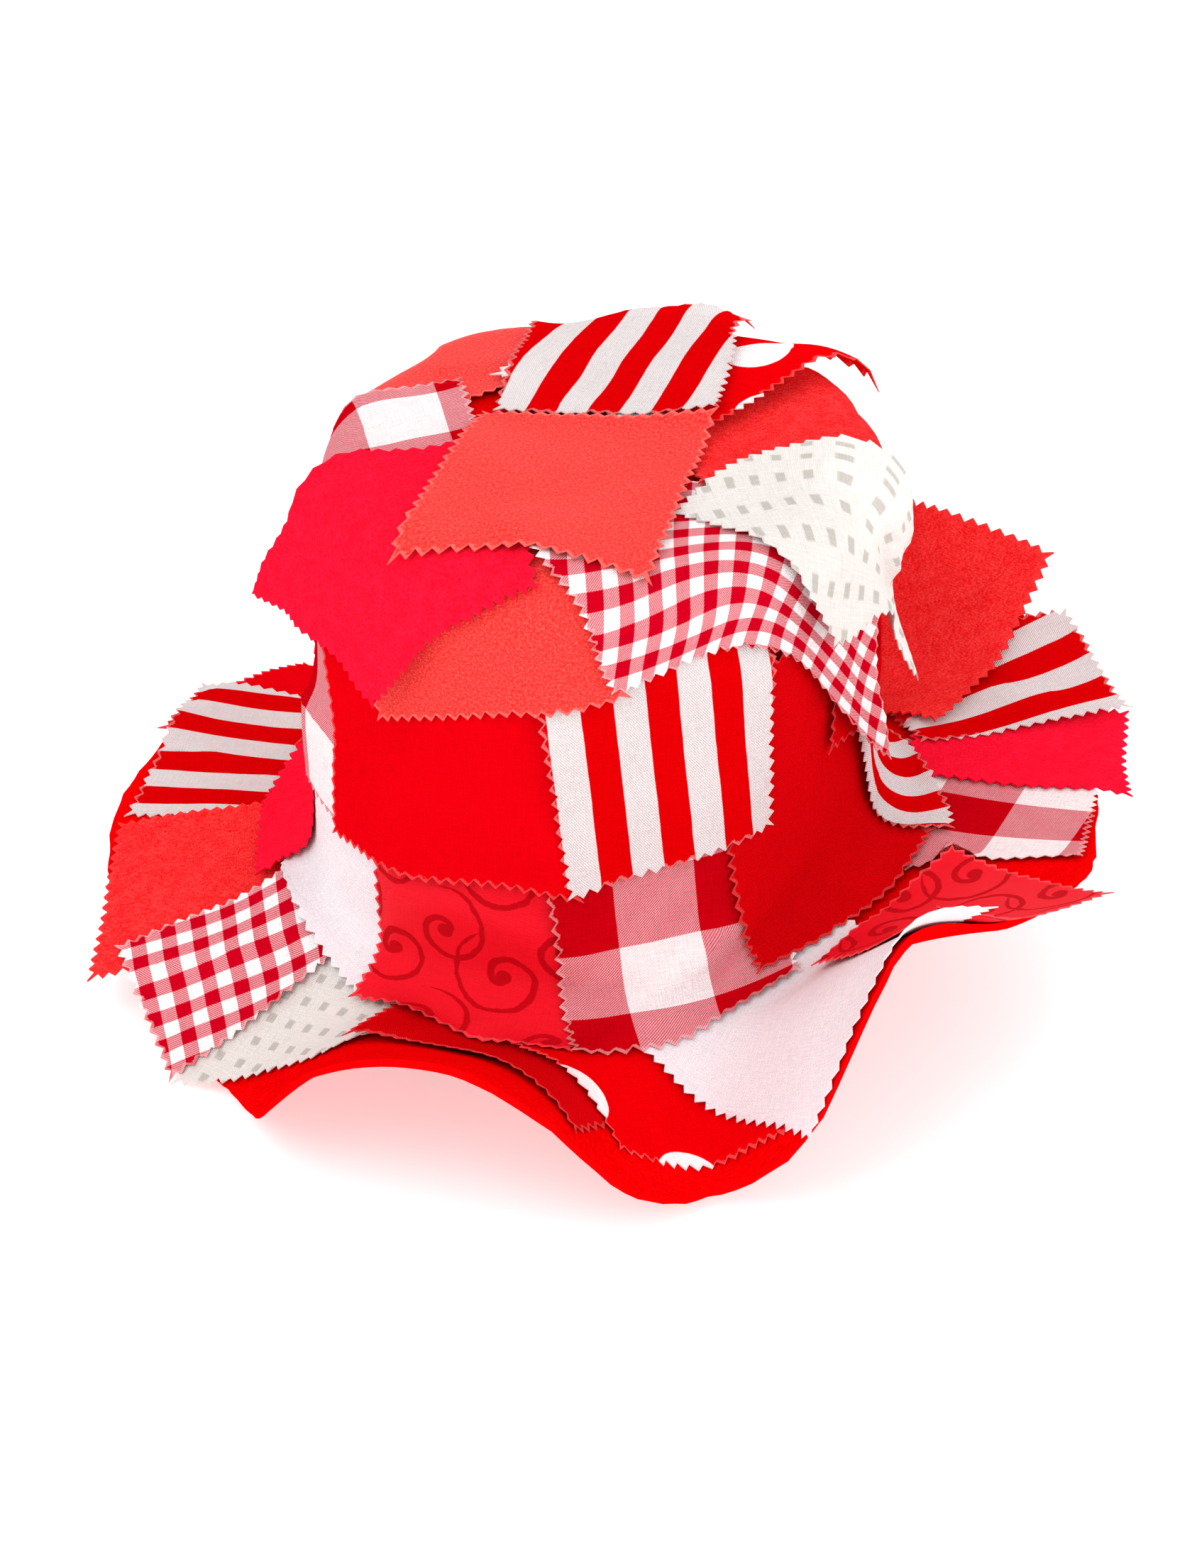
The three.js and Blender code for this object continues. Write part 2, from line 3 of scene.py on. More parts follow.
import bpy
import numpy as np
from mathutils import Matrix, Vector


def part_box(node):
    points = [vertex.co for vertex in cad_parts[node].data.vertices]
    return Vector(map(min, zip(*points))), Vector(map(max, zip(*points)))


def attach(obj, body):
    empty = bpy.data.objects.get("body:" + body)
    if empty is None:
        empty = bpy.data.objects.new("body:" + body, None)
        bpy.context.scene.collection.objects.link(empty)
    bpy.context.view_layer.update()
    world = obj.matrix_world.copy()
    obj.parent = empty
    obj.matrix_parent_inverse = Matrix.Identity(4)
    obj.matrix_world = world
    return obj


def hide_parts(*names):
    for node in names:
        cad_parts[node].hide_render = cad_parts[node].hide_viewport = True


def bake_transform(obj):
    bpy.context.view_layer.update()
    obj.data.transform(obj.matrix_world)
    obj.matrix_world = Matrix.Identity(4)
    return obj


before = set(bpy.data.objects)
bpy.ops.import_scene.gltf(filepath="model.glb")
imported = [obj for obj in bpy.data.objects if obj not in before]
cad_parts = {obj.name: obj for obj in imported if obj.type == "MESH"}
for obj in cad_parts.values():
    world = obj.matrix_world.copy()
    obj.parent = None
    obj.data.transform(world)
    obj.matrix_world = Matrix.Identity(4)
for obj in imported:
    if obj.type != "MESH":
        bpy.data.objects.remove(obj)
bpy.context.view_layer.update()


# ---------------------------------------------------------------- the hat's surface, in mm
CROWN_HALF_WIDTH = 79.0
CROWN_DOME = math.radians(7)
EDGE_RADIUS = 15.0
WALL_HEIGHT = 128.0
WALL_TILT = math.radians(88)
CREASE_RADIUS = 18.0
BRIM_WIDTH = 60.0
HEAD_OVAL = 1.06
FELT = 2.5
# azimuth, how far the brim slopes down there (degrees), how much higher the wall's foot lies (mm);
# azimuth 0 is the front (-Y) and 90 is the wearer's left (+X)
BRIM_WAVES = np.array([
    (-180, 34, 0), (-165, 30, 0), (-145, 14, 0), (-130, 2, 0), (-110, 2, 0), (-90, 8, 0),
    (-72, 18, 0), (-54, 33, 0), (-42, 18, 0), (-30, -20, 0), (-16, -32, 0), (-5, -18, 0),
    (5, 16, 0), (14, 31, 0), (21, 9, 2), (28, -28, 8), (36, -44, 15), (48, -28, 22),
    (62, -16, 26), (78, -4, 26), (92, 0, 25), (108, -8, 22), (123, -35, 14), (138, -50, 5),
    (150, -14, 0), (163, 30, 0)], float)
S_RIM = CROWN_HALF_WIDTH
S_WALL = S_RIM + EDGE_RADIUS * (WALL_TILT - CROWN_DOME)
S_FOOT = S_WALL + WALL_HEIGHT

# the crown's middle in the frame: the sweatband is centred on its axis
band_low, band_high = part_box("sweatband")
felt_low, felt_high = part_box("felt_body")
CENTRE = np.array([(band_low.x + band_high.x) / 2, (band_low.y + band_high.y) / 2,
                   felt_high.z]) * 1000

# the waves once more round at each end, and the rate at which they change at each knot
KNOTS = np.concatenate([BRIM_WAVES[-2:] - [360, 0, 0], BRIM_WAVES, BRIM_WAVES[:2] + [360, 0, 0]])
RATES = np.zeros(KNOTS.shape)
RATES[1:-1] = (KNOTS[2:] - KNOTS[:-2]) / (KNOTS[2:, :1] - KNOTS[:-2, :1])


def brim_wave(theta, column):
    """A column of BRIM_WAVES at azimuth theta, on a smooth curve through the knots."""
    t = (np.degrees(theta) + 180) % 360 - 180
    i = np.clip(np.searchsorted(KNOTS[:, 0], t, side="right") - 1, 1, len(KNOTS) - 3)
    span = KNOTS[i + 1, 0] - KNOTS[i, 0]
    u = (t - KNOTS[i, 0]) / span
    return ((2 * u**3 - 3 * u**2 + 1) * KNOTS[i, column]
            + (u**3 - 2 * u**2 + u) * span * RATES[i, column]
            + (3 * u**2 - 2 * u**3) * KNOTS[i + 1, column]
            + (u**3 - u**2) * span * RATES[i + 1, column])


def brim_slope(theta):
    return np.radians(brim_wave(theta, 1))


def wall_foot(theta):
    return S_FOOT - brim_wave(theta, 2)


def profile(theta, s):
    """Radius, height and heading at arc length s from the crown's middle."""
    theta, s = np.broadcast_arrays(np.asarray(theta, float), np.asarray(s, float))
    down = -brim_slope(theta)
    o = np.zeros(s.shape)
    # each run's length and the heading at its start and its end
    runs = [(CROWN_HALF_WIDTH + o, o, o - CROWN_DOME),
            (EDGE_RADIUS * (WALL_TILT - CROWN_DOME) + o, o - CROWN_DOME, o - WALL_TILT),
            (wall_foot(theta) - S_WALL, o - WALL_TILT, o - WALL_TILT),
            (CREASE_RADIUS * (down + WALL_TILT), o - WALL_TILT, down),
            (BRIM_WIDTH * 4 + o, down, down)]
    r, z, heading, left = o.copy(), o.copy(), o.copy(), s.copy()
    for length, a0, a1 in runs:
        step = np.clip(left, 0, length)
        bend = (a1 - a0) / np.maximum(length, 1e-9)
        a = a0 + bend * step
        flat = np.abs(bend) < 1e-9
        k = np.where(flat, 1, bend)
        r += np.where(flat, step * np.cos(a0), (np.sin(a) - np.sin(a0)) / k)
        z += np.where(flat, step * np.sin(a0), -(np.cos(a) - np.cos(a0)) / k)
        heading = np.where(left > 0, a, heading)
        left = np.maximum(left - length, 0)
    return r, z, heading


def surface(theta, s, height=0.0):
    """Points at azimuth theta and arc length s, height mm outside the felt's outer face."""
    r, z, a = profile(theta, s)
    r = r - height * np.sin(a)
    z = z + height * np.cos(a)
    return np.stack([r * np.sin(theta), -HEAD_OVAL * r * np.cos(theta), z], -1)


def brim_edge(theta):
    return wall_foot(theta) + CREASE_RADIUS * (WALL_TILT - brim_slope(theta)) + BRIM_WIDTH


def chart(xy, height=0.0):
    """A chart of the hat: distance from the crown's middle and azimuth, laid out as a map."""
    return surface(np.arctan2(xy[..., 0], -xy[..., 1]), np.hypot(xy[..., 0], xy[..., 1]), height)


CHART_STEP = 0.5       # mm, to take the chart's directions


def chart_frame(xy):
    """The chart's two directions in space, and what turns a direction in space into the chart's."""
    p = chart(xy)
    dx = (chart(xy + [CHART_STEP, 0]) - p) / CHART_STEP
    dy = (chart(xy + [0, CHART_STEP]) - p) / CHART_STEP
    xx, x_y, yy = (dx * dx).sum(-1), (dx * dy).sum(-1), (dy * dy).sum(-1)
    area = xx * yy - x_y**2

    def to_chart(v):
        a, b = (v * dx).sum(-1), (v * dy).sum(-1)
        return np.stack([(yy * a - x_y * b) / area, (xx * b - x_y * a) / area], -1)
    return dx, dy, to_chart


def unit(v):
    return v / np.maximum(np.linalg.norm(v, axis=-1, keepdims=True), 1e-12)


WALK_STEP = 4.0        # mm


def walk(start, offsets, twist):
    """Chart points reached from start along straight lines in the surface, by flat offsets."""
    distance = np.hypot(offsets[:, 0], offsets[:, 1])
    angle = np.arctan2(offsets[:, 1], offsets[:, 0]) + twist
    xy = np.repeat(np.asarray(start, float)[None], len(offsets), 0)
    theta = np.arctan2(xy[:, 0], -xy[:, 1])[:, None]
    dx, dy, to_chart = chart_frame(xy)
    around = unit(dx * np.cos(theta) + dy * np.sin(theta))
    inward = -dx * np.sin(theta) + dy * np.cos(theta)
    inward = unit(inward - (inward * around).sum(-1, keepdims=True) * around)
    v = around * np.cos(angle)[:, None] + inward * np.sin(angle)[:, None]
    steps = int(math.ceil(distance.max() / WALK_STEP))
    for _ in range(steps):
        xy = xy + to_chart(v) * (distance / steps)[:, None]
        dx, dy, to_chart = chart_frame(xy)
        along = to_chart(v)
        v = unit(dx * along[:, :1] + dy * along[:, 1:])
    return xy


def chart_place(azimuth, station):
    """Stations: 0 crown's middle, 1 rim, 2 top of the wall, 3 its foot, 4 the brim's edge."""
    theta = math.radians(azimuth)
    marks = [0, S_RIM, S_WALL, float(wall_foot(theta)), float(brim_edge(theta))]
    i = min(int(station), 3)
    s = marks[i] + (station - i) * (marks[i + 1] - marks[i])
    return np.array([s * math.sin(theta), -s * math.cos(theta)])


def to_metres(points):
    """From mm round the crown's middle to the frame."""
    return (points + CENTRE) / 1000


# ---------------------------------------------------------------- meshes
def make_mesh(name, points, faces, material):
    """A smooth piece made of four-sided faces."""
    mesh = bpy.data.meshes.new(name)
    mesh.vertices.add(len(points))
    mesh.vertices.foreach_set("co", np.asarray(points, np.float32).ravel())
    faces = np.asarray(faces, np.int32)
    mesh.loops.add(faces.size)
    mesh.loops.foreach_set("vertex_index", faces.ravel())
    mesh.polygons.add(len(faces))
    mesh.polygons.foreach_set("loop_start", np.arange(0, faces.size, 4, dtype=np.int32))
    mesh.update(calc_edges=True)
    mesh.polygons.foreach_set("use_smooth", np.full(len(faces), True))
    mesh.materials.append(material)
    piece = bpy.data.objects.new(name, mesh)
    bpy.context.scene.collection.objects.link(piece)
    return piece


def point_uv(mesh, uv):
    """Gives every corner the map coordinates of its vertex."""
    layer = mesh.uv_layers.new(name="flat")
    index = np.zeros(len(mesh.loops), np.int32)
    mesh.loops.foreach_get("vertex_index", index)
    layer.data.foreach_set("uv", np.asarray(uv, np.float32)[index].ravel())


def point_value(mesh, name, values):
    """Gives every vertex a number that a material can read."""
    attribute = mesh.attributes.new(name, "FLOAT", "POINT")
    attribute.data.foreach_set("value", np.asarray(values, np.float32))


def sharpen(mesh):
    """Marks the edges where the cut side meets the faces."""
    mesh.set_sharp_from_angle(angle=math.radians(50))


def smooth_noise(shape, cell, rng):
    """Random values on a coarse net, drawn out smoothly to shape."""
    rows, cols = shape
    n, m = int(rows / cell) + 4, int(cols / cell) + 4
    net = rng.standard_normal((n, m))
    y = np.arange(rows)[:, None] / cell + rng.random()
    x = np.arange(cols)[None, :] / cell + rng.random()
    i, j = y.astype(int), x.astype(int)
    u, v = y - i, x - j
    u, v = u * u * (3 - 2 * u), v * v * (3 - 2 * v)
    return ((net[i, j] * (1 - u) + net[i + 1, j] * u) * (1 - v)
            + (net[i, j + 1] * (1 - u) + net[i + 1, j + 1] * u) * v)


# ---------------------------------------------------------------- materials
def linear(rgb):
    """A display colour out of 255 as the shader's linear one."""
    return tuple((c / 12.92 if c <= 0.04045 else ((c + 0.055) / 1.055) ** 2.4)
                 for c in (v / 255 for v in rgb)) + (1.0,)


class Weave:
    """A material under construction, with short names for the nodes it uses."""

    def __init__(self, name, roughness=0.85, specular=0.0):
        self.material = bpy.data.materials.new(name)
        self.material.use_nodes = True
        self.tree = self.material.node_tree
        self.shader = next(n for n in self.tree.nodes if n.type == "BSDF_PRINCIPLED")
        self.shader.inputs["Roughness"].default_value = roughness
        self.shader.inputs["Specular IOR Level"].default_value = specular
        uv = self.node("ShaderNodeUVMap", uv_map="flat")
        in_mm = self.node("ShaderNodeVectorMath", operation="SCALE")
        self.link(uv.outputs[0], in_mm.inputs[0])
        in_mm.inputs["Scale"].default_value = 1000
        self.place = in_mm.outputs[0]
        split = self.node("ShaderNodeSeparateXYZ")
        self.link(self.place, split.inputs[0])
        self.x, self.y = split.outputs[0], split.outputs[1]

    def node(self, kind, **settings):
        made = self.tree.nodes.new(kind)
        for key, value in settings.items():
            setattr(made, key, value)
        return made

    def link(self, out, into):
        self.tree.links.new(out, into)

    def put(self, value, into):
        """Feeds a socket with another's output or with a plain value."""
        if hasattr(value, "is_linked"):
            self.link(value, into)
        else:
            if isinstance(value, tuple) and into.type == "VECTOR":
                value = value[:3]
            into.default_value = value

    def math(self, operation, a, b=0.0, c=0.0, clamp=False):
        made = self.node("ShaderNodeMath", operation=operation, use_clamp=clamp)
        for value, into in zip((a, b, c), made.inputs):
            self.put(value, into)
        return made.outputs[0]

    def ramp(self, value, low, high):
        """0 below low, 1 above high."""
        made = self.node("ShaderNodeMapRange", interpolation_type="SMOOTHSTEP")
        self.put(value, made.inputs["Value"])
        made.inputs["From Min"].default_value = low
        made.inputs["From Max"].default_value = high
        return made.outputs[0]

    def mix(self, share, a, b, blend="MIX"):
        made = self.node("ShaderNodeMix", data_type="RGBA", blend_type=blend)
        self.put(share, made.inputs[0])
        self.put(a, made.inputs[6])
        self.put(b, made.inputs[7])
        return made.outputs[2]

    def noise(self, size, detail=2.0, stretch=(1, 1), rough=0.5):
        """Noise with features of about size mm."""
        shaped = self.node("ShaderNodeVectorMath", operation="MULTIPLY")
        self.link(self.place, shaped.inputs[0])
        shaped.inputs[1].default_value = (1 / (size * stretch[0]), 1 / (size * stretch[1]), 0)
        made = self.node("ShaderNodeTexNoise")
        made.inputs["Scale"].default_value = 1.0
        made.inputs["Detail"].default_value = detail
        made.inputs["Roughness"].default_value = rough
        self.link(shaped.outputs[0], made.inputs["Vector"])
        return made.outputs["Fac"]

    def wave(self, along, period, phase=0.0):
        return self.math("SINE", self.math("MULTIPLY_ADD", along, 2 * math.pi / period, phase))

    def wobble(self, along, amount, size=9.0):
        """along, off by up to about amount mm, as the yarns of a printed or woven line are."""
        return self.math("MULTIPLY_ADD", self.math("SUBTRACT", self.noise(size), 0.5),
                         amount, along)

    def band(self, along, period, share=0.5, soft=0.25):
        """1 on a band that takes up share of each period, with an edge soft mm wide."""
        t = self.math("PINGPONG", along, period / 2)
        return self.ramp(t, share * period / 2 + soft / 2, share * period / 2 - soft / 2)

    def attribute(self, name):
        return self.node("ShaderNodeAttribute", attribute_name=name).outputs["Fac"]

    def threads(self, yarn, twill=False):
        """Height of a weave whose yarns are yarn mm apart."""
        if twill:
            across = self.wave(self.math("ADD", self.x, self.math("MULTIPLY", self.y, 0.7)),
                               yarn * 1.6)
            fine = self.wave(self.math("SUBTRACT", self.x, self.y), yarn)
            return self.math("MULTIPLY_ADD", fine, 0.35, across)
        return self.math("MULTIPLY", self.wave(self.x, 2 * yarn), self.wave(self.y, 2 * yarn))

    def slubs(self):
        """Yarns of uneven thickness, along both directions of the weave."""
        size, length = 0.5, 14
        return self.math("ADD", self.noise(size, stretch=(1, length)),
                         self.noise(size, stretch=(length, 1)))

    def finish(self, colour, height, depth, fray=(255, 170, 170), fray_reach=1.3,
               mottle=0.10, cast=0.10, slub=0.26):
        """Tints the colour by its yarns and broad mottling, paints shade in its hollows, frays the
        cut edge, sets the bump.

        height is the weave's relief, depth its size in mm and cast how much painted shade the
        relief lays on the colour.
        """
        yarns = self.math("MULTIPLY_ADD", self.math("SUBTRACT", self.slubs(), 1.0), slub, 1.0)
        broad = self.math("MULTIPLY_ADD", self.math("SUBTRACT", self.noise(35), 0.5), mottle, 1.0)
        # painted shade: the colour darkens where the relief is low, in the weave's hollows
        painted_relief_shade = self.math("MULTIPLY_ADD", height, cast, 1.0)
        tone = self.math("MULTIPLY", self.math("MULTIPLY", yarns, broad), painted_relief_shade)
        tint = self.node("ShaderNodeVectorMath", operation="SCALE")
        self.put(colour, tint.inputs[0])
        self.link(tone, tint.inputs["Scale"])
        fuzz = self.math("MULTIPLY", self.noise(0.7), fray_reach * 2)
        loose = self.ramp(self.math("SUBTRACT", self.attribute("cut"), fuzz), 0.3, -0.3)
        shade = self.mix(self.math("MULTIPLY", loose, 0.28), tint.outputs[0], linear(fray))
        self.link(shade, self.shader.inputs["Base Color"])
        bump = self.node("ShaderNodeBump")
        bump.inputs["Distance"].default_value = depth / 1000
        bump.inputs["Strength"].default_value = 1.0
        self.link(self.math("ADD", height, self.math("MULTIPLY", yarns, 1.2)),
                  bump.inputs["Height"])
        self.link(bump.outputs[0], self.shader.inputs["Normal"])
        return self.material


def plain_cloth(name, rgb, yarn=0.42, twill=False, depth=0.12, fray=(255, 120, 120)):
    w = Weave(name)
    return w.finish(linear(rgb), w.threads(yarn, twill), depth, fray)


def striped(name, rgb, white, width):
    """Canvas with two colours of stripe, each width mm wide."""
    w = Weave(name, roughness=0.8)
    red = w.band(w.wobble(w.x, 0.5), 2 * width, 0.5, 0.3)
    return w.finish(w.mix(red, linear(white), linear(rgb)), w.threads(0.5, True), 0.14,
                    (250, 200, 200))


def checked(name, rgb, half, white, period, yarn):
    """Two sets of bands that cross: both, one or neither, and diagonal hatching where one."""
    w = Weave(name)
    a = w.band(w.wobble(w.x, 0.4), period, 0.5, 0.3)
    b = w.band(w.wobble(w.y, 0.4), period, 0.5, 0.3)
    both, one = w.math("MULTIPLY", a, b), w.math("MAXIMUM", a, b)
    hatch = w.ramp(w.wave(w.math("SUBTRACT", w.x, w.y), yarn * 2.1), -0.5, 0.5)
    lines = w.mix(w.math("MULTIPLY_ADD", hatch, 0.42, 0.04), linear(half), linear(white))
    colour = w.mix(both, w.mix(one, linear(white), lines), linear(rgb))
    return w.finish(colour, w.threads(yarn), 0.12, (255, 214, 214), cast=0.09, slub=0.42)


def dotted(name, rgb, white, dot, spacing):
    """Dots in staggered rows, spacing mm from each to its nearest neighbours."""
    w = Weave(name)
    lattice = spacing * math.sqrt(2)
    distances = []
    for shift in (0.0, lattice / 2):
        x = w.math("PINGPONG", w.math("ADD", w.x, shift), lattice / 2)
        y = w.math("PINGPONG", w.math("ADD", w.y, shift), lattice / 2)
        distances.append(w.math("SQRT", w.math("ADD", w.math("POWER", x, 2.0),
                                               w.math("POWER", y, 2.0))))
    nearest = w.wobble(w.math("MINIMUM", *distances), 0.5, 3)
    white_share = w.ramp(nearest, dot / 2 + 0.2, dot / 2 - 0.2)
    return w.finish(w.mix(white_share, linear(rgb), linear(white)), w.threads(0.4), 0.10,
                    (255, 130, 130))


def jacquard(name, ground, figure, square, pitch):
    """A satin with small squares woven in the other face."""
    w = Weave(name, roughness=0.55, specular=0.12)
    a = w.band(w.wobble(w.x, 0.9, 4), pitch, square / pitch, 0.8)
    b = w.band(w.wobble(w.y, 0.9, 4), pitch, square / pitch, 0.8)
    both = w.math("MULTIPLY", a, b)
    colour = w.mix(both, linear(ground), linear(figure))
    w.link(w.math("MULTIPLY_ADD", both, 0.25, 0.5), w.shader.inputs["Roughness"])
    floats = w.wave(w.x, 0.6)
    height = w.math("ADD", w.math("MULTIPLY", floats, 0.6), w.math("MULTIPLY", both, -1.0))
    return w.finish(colour, height, 0.14, (226, 216, 212), cast=0.05)


def scrolled(name, ground, figure, cell):
    """A damask: spirals of both hands, a cell apart, in the matt face on a satin ground."""
    w = Weave(name, roughness=0.5, specular=0.05)
    shares = []
    for hand, shift, size in ((1, 0.0, 0.46), (-1, cell / 2, 0.40)):
        local = []
        for axis, offset in ((w.x, shift), (w.y, shift * 1.3)):
            moved = w.math("ADD", axis, offset)
            local.append(w.math("SUBTRACT", w.math("WRAP", moved, cell, 0.0), cell / 2))
        x, y = local
        r = w.math("SQRT", w.math("ADD", w.math("POWER", x, 2.0), w.math("POWER", y, 2.0)))
        angle = w.math("DIVIDE", w.math("ARCTAN2", y, x), 2 * math.pi)
        turn = w.math("MULTIPLY_ADD", r, hand * 3.4 / cell, angle)
        arm = w.math("PINGPONG", w.math("MULTIPLY_ADD", w.noise(7), 0.22, turn), 0.5)
        width = w.math("MULTIPLY_ADD", r, -0.004, 0.135)
        line = w.ramp(w.math("SUBTRACT", arm, width), 0.02, -0.02)
        inside = w.ramp(r, cell * size, cell * size - 0.6)
        eye = w.ramp(r, cell * 0.075, cell * 0.06)
        shares.append(w.math("MAXIMUM", w.math("MULTIPLY", line, inside), eye))
    figure_share = w.math("MAXIMUM", *shares)
    colour = w.mix(figure_share, linear(ground), linear(figure))
    w.link(w.math("MULTIPLY_ADD", figure_share, 0.35, 0.42), w.shader.inputs["Roughness"])
    floats = w.math("MULTIPLY", w.wave(w.y, 0.5), 0.3)
    height = w.math("SUBTRACT", floats, figure_share)
    return w.finish(colour, height, 0.14, (255, 120, 120), cast=0.05)


def brushed(name, rgb, light, depth=0.5):
    """Felt or brushed cotton: no weave, a nap of short fibres."""
    w = Weave(name, roughness=0.95)
    nap = w.math("ADD", w.noise(0.9, 3, (1, 2.2), 0.65), w.noise(0.5, 2, (2.5, 1), 0.6))
    clumps = w.noise(6, 3)
    colour = w.mix(w.ramp(w.math("MULTIPLY_ADD", clumps, 0.5, nap), 0.95, 1.65),
                   linear(rgb), linear(light))
    return w.finish(colour, nap, depth, light, fray_reach=1.6, mottle=0.16, cast=0.02)


def crepe(name, rgb, light):
    """A thin pebbled cloth with a soft gloss, its raised pebbles painted lighter: partly the
    cloth's own tone, partly painted glints of its sheen.
    """
    w = Weave(name, roughness=0.6, specular=0.08)
    pebbles_and_glints = w.math("ADD", w.noise(0.75, 2, (1, 1.6), 0.6), w.noise(0.5, 2, (2, 1), 0.6))
    height = w.math("MULTIPLY", w.math("SUBTRACT", pebbles_and_glints, 1.0), 3.2)
    # raised pebbles painted lighter: partly the crepe's own tone, partly painted glints of sheen
    colour = w.mix(w.ramp(pebbles_and_glints, 0.8, 1.3), linear(rgb), linear(light))
    return w.finish(colour, height, 0.09, (255, 150, 140), mottle=0.08, cast=0.06)


def ribbed(name, rgb, rib):
    """A ribbon with ribs across it, rib mm apart."""
    w = Weave(name, roughness=0.7)
    return w.finish(linear(rgb), w.wave(w.x, rib), 0.3, rgb, cast=0.06)


FABRICS = {
    "red_poplin": plain_cloth("red_poplin", (226, 1, 14)),
    "red_twill": plain_cloth("red_twill", (228, 4, 14), 0.5, True, 0.15),
    "crimson": brushed("crimson", (230, 12, 40), (242, 26, 58), depth=0.2),
    # the salmon crepe's lighter colour is partly painted glints of its satin sheen
    "salmon": crepe("salmon", (222, 40, 36), (246, 78, 72)),
    "orange_red": brushed("orange_red", (230, 22, 26), (250, 66, 66)),
    "damask": scrolled("damask", (230, 18, 36), (192, 2, 18), 40.0),
    "jacquard": jacquard("jacquard", (228, 221, 216), (196, 190, 182), 3.4, 9.5),
    "white_poplin": plain_cloth("white_poplin", (236, 226, 230), 0.36, depth=0.08,
                                fray=(240, 232, 234)),
    "stripes": striped("stripes", (228, 1, 6), (236, 226, 226), 10.4),
    "small_check": checked("small_check", (198, 1, 28), (208, 34, 62), (250, 244, 244),
                           10.8, 0.42),
    "large_check": checked("large_check", (192, 1, 16), (204, 48, 70), (242, 230, 231),
                           54.0, 0.45),
    "polka": dotted("polka", (230, 1, 8), (252, 246, 247), 24.0, 45.0),
}
FELT_CLOTH = brushed("felt_hat", (226, 0, 2), (238, 4, 8), depth=0.6)
RIBBON = ribbed("grosgrain", (228, 219, 210), 1.6)


# ---------------------------------------------------------------- the cloths
PLAIN_SIZE = (86, 86)
TOOTH = 2.5            # half the pitch of the pinking shears, mm
TOOTH_DEPTH = 2.2
TOOTH_SPREAD = 0.4     # and how much that depth varies
CUT_WANDER = 0.7       # how far the hand strays from the line, and over how many grid cells
WANDER_CELL = 12
THICK = {"crimson": 0.8, "orange_red": 0.8, "large_check": 0.35, "small_check": 0.35}
COTTON = 0.4           # thickness of the others
AIR = 0.15             # left between a cloth and what it lies on
LOOSE = 11.0           # the cloth is loose this near to its edge
EDGE_RISE, RISE_SPREAD = 1.3, 1.1   # how far it stands off there, and how much that varies
EDGE_CELL = 13         # over how many grid cells
MIDDLE_RISE = 0.8      # soft waves elsewhere
MIDDLE_CELL = 15
SETTLE_ROUNDS, SETTLE_SHARE = 14, 0.65
EDGE_CURL = 0.6        # the most that settling may raise an edge in one round
FOLD_REACH = 0.007     # m to each side of a fold's hinge, for the path that fold_line returns

# how high the hat is covered already, over the chart
PILE_CELL = 1.0
PILE_MARGIN = 120      # how far that map runs past the brim
PILE_REACH = S_FOOT + math.pi * CREASE_RADIUS + BRIM_WIDTH + PILE_MARGIN
PILE_SIDE = 2 * math.ceil(PILE_REACH / PILE_CELL)
pile = np.zeros((PILE_SIDE, PILE_SIDE), np.float32)


def pile_index(xy):
    cell = np.clip(np.rint(xy / PILE_CELL).astype(int) + PILE_SIDE // 2, 1, PILE_SIDE - 2)
    return cell[..., 1], cell[..., 0]


def pile_under(xy, reach=2):
    """The highest of the pile within reach cells."""
    row, column = pile_index(xy)
    high = np.zeros(row.shape)
    for i in range(-reach, reach + 1):
        for j in range(-reach, reach + 1):
            high = np.maximum(high, pile[row + i, column + j])
    return high


def spaced(cells):
    """Even spacing, but with the rows next to the edge drawn in to make room for the teeth."""
    i = np.arange(cells + 1, dtype=float)
    for k, shift in ((1, 0.45), (2, 0.2), (3, 0.06)):
        i[k] += shift
        i[cells - k] -= shift
    return i / cells


def drawn(values):
    """values on the grid, drawn out fourfold between its points."""
    def between(a, axis):
        n = a.shape[axis] - 1
        t = np.arange(4 * n + 1) / 4
        i = np.minimum(t.astype(int), n - 1)
        f = (t - i).reshape((-1, 1, 1) if axis == 0 else (1, -1, 1))
        return np.take(a, i, axis) * (1 - f) + np.take(a, i + 1, axis) * f
    return between(between(values, 0), 1)


def cut_cloth(corners, rng):
    """A pinked cloth on a flat grid, with each point's shares of its width and length (u, v), its
    share of each corner and its distance to the edge."""
    bl, br, tr, tl = (np.array(c, float) for c in corners)
    width = (np.linalg.norm(br - bl) + np.linalg.norm(tr - tl)) / 2
    length = (np.linalg.norm(tl - bl) + np.linalg.norm(tr - br)) / 2
    columns, rows = (2 * round(side / (2 * TOOTH)) for side in (width, length))
    v, u = np.meshgrid(spaced(rows), spaced(columns), indexing="ij")
    weights = np.stack([(1 - u) * (1 - v), u * (1 - v), u * v, (1 - u) * v], -1)
    flat = weights @ np.stack([bl, br, tr, tl])
    along, up = unit(br - bl + tr - tl), unit(tl - bl + tr - br)
    bite = TOOTH_DEPTH + rng.uniform(-TOOTH_SPREAD, TOOTH_SPREAD, (4, max(rows, columns) + 1))
    flat[0, 1::2] += up * bite[0, 1:columns + 1:2, None]
    flat[-1, 1::2] -= up * bite[1, 1:columns + 1:2, None]
    flat[1::2, 0] += along * bite[2, 1:rows + 1:2, None]
    flat[1::2, -1] -= along * bite[3, 1:rows + 1:2, None]
    wander = [smooth_noise(u.shape, WANDER_CELL, rng) for _ in range(2)]
    flat += CUT_WANDER * np.stack(wander, -1)
    inset = np.minimum(np.minimum(u, 1 - u) * width, np.minimum(v, 1 - v) * length)
    return flat, u, v, weights, inset


